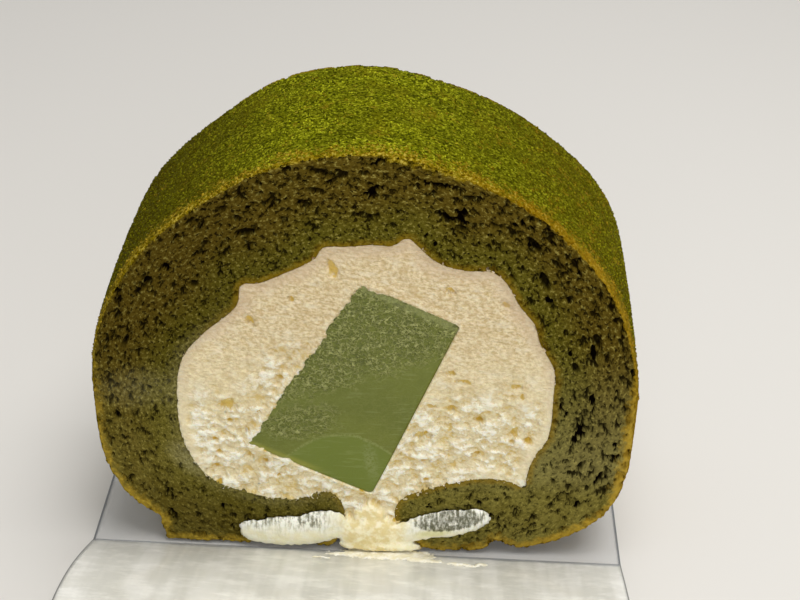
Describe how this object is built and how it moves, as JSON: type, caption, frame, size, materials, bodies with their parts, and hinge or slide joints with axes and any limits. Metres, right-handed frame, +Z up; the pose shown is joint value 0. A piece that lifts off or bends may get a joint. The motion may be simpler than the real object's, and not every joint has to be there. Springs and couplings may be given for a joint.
{
  "type": "swiss roll cake slice",
  "caption": "Thick slice of a green tea swiss roll: sponge sheet rolled round cream and a firm green bar, standing on its opened clear film.",
  "frame": {"origin": "under the middle of the slice, on the underside of the clear film it stands on", "axes": "+Z up; -Y out of the cut face shown in the picture; +X to the right of that face; the roll's axis is along Y"},
  "size_m": [0.089, 0.0773, 0.0759],
  "materials": {
    "sponge": "open green tea crumb, golden crust dusted with green tea powder",
    "cream": "whipped cream, knife-cut and slightly torn",
    "green_bar": "smooth set green tea filling with a faint frost",
    "clear_film": "clear thin cake film"
  },
  "bodies": {
    "root": {"sponge_sheet": "sponge", "cream_filling": "cream", "green_bar": "green_bar", "clear_film": "clear_film"}
  },
  "joints": []
}
